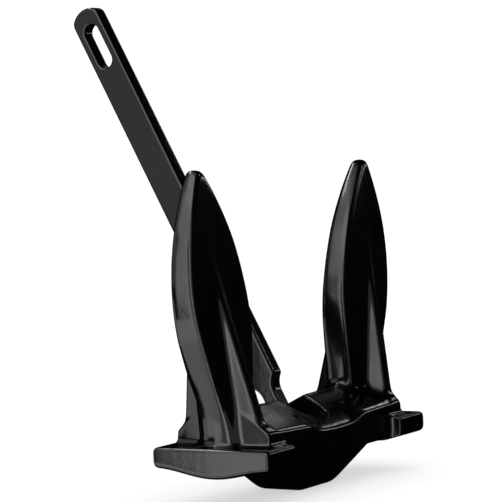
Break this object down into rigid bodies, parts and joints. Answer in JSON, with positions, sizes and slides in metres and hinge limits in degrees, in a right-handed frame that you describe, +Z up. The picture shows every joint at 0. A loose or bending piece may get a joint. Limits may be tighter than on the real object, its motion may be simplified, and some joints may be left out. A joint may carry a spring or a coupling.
{
  "type": "boat anchor",
  "caption": "Stockless boat anchor dipped in black vinyl: a flat-bar shank with a shackle eye swings in a heavy crown that carries upright pointed flukes.",
  "frame": {"origin": "on the floor, under the middle of the whole anchor as it stands with its shank leaning on its stop", "axes": "+Z up along the flukes, X from fluke to fluke along the hinge, the free shank leans towards +Y"},
  "size_m": [0.3302, 0.2724, 0.4368],
  "materials": {
    "black_vinyl": "thick glossy dipped vinyl, near black",
    "cast_iron": "raw sand casting, seen only inside the crown's hinge pocket",
    "hinge_steel": "plain turned steel pin and keepers"
  },
  "bodies": {
    "head": {"head_casting": "cast_iron", "head_coat": "black_vinyl", "pivot_pin": "hinge_steel", "pin_keeper_left": "hinge_steel", "pin_keeper_right": "hinge_steel"},
    "shank": {"shank_casting": "cast_iron", "shank_coat": "black_vinyl"}
  },
  "joints": [
    {"name": "shank_swing", "type": "hinge", "parent": "head", "child": "shank", "pos_m": [0, -0.07922, 0.0428], "axis": [1, 0, 0], "range_deg": [0, 55.4]}
  ]
}
